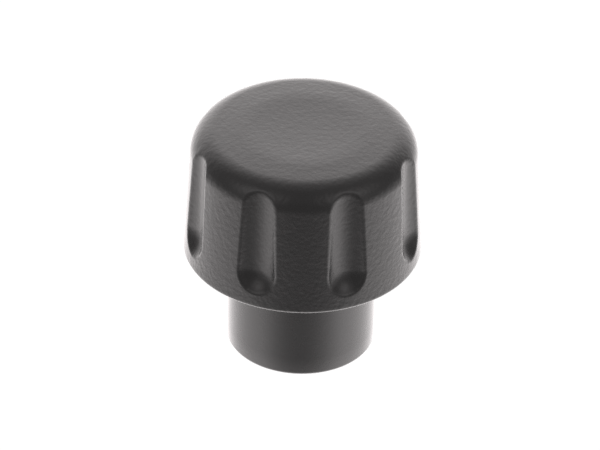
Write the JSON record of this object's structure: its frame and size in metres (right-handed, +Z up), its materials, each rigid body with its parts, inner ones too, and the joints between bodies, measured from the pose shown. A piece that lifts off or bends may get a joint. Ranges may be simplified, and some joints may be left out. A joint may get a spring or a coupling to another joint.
{
  "type": "fluted knob",
  "caption": "Black moulded clamping knob with a tapered, finger-fluted head, a plain round hub and a moulded-in brass bush with a tapped blind hole.",
  "frame": {"origin": "centre of the hub's end face, which is also the lowest plane of the part", "axes": "+Z up along the knob's axis, from the hub's end face towards the top face; a land between two flutes faces -Y"},
  "size_m": [0.032, 0.032, 0.0331],
  "materials": {
    "black_plastic": "fine matt mould grain on the head, smoother satin on the hub",
    "brass": "turned and tapped"
  },
  "bodies": {
    "root": {"knob_body": "black_plastic", "threaded_bush": "brass"}
  },
  "joints": []
}
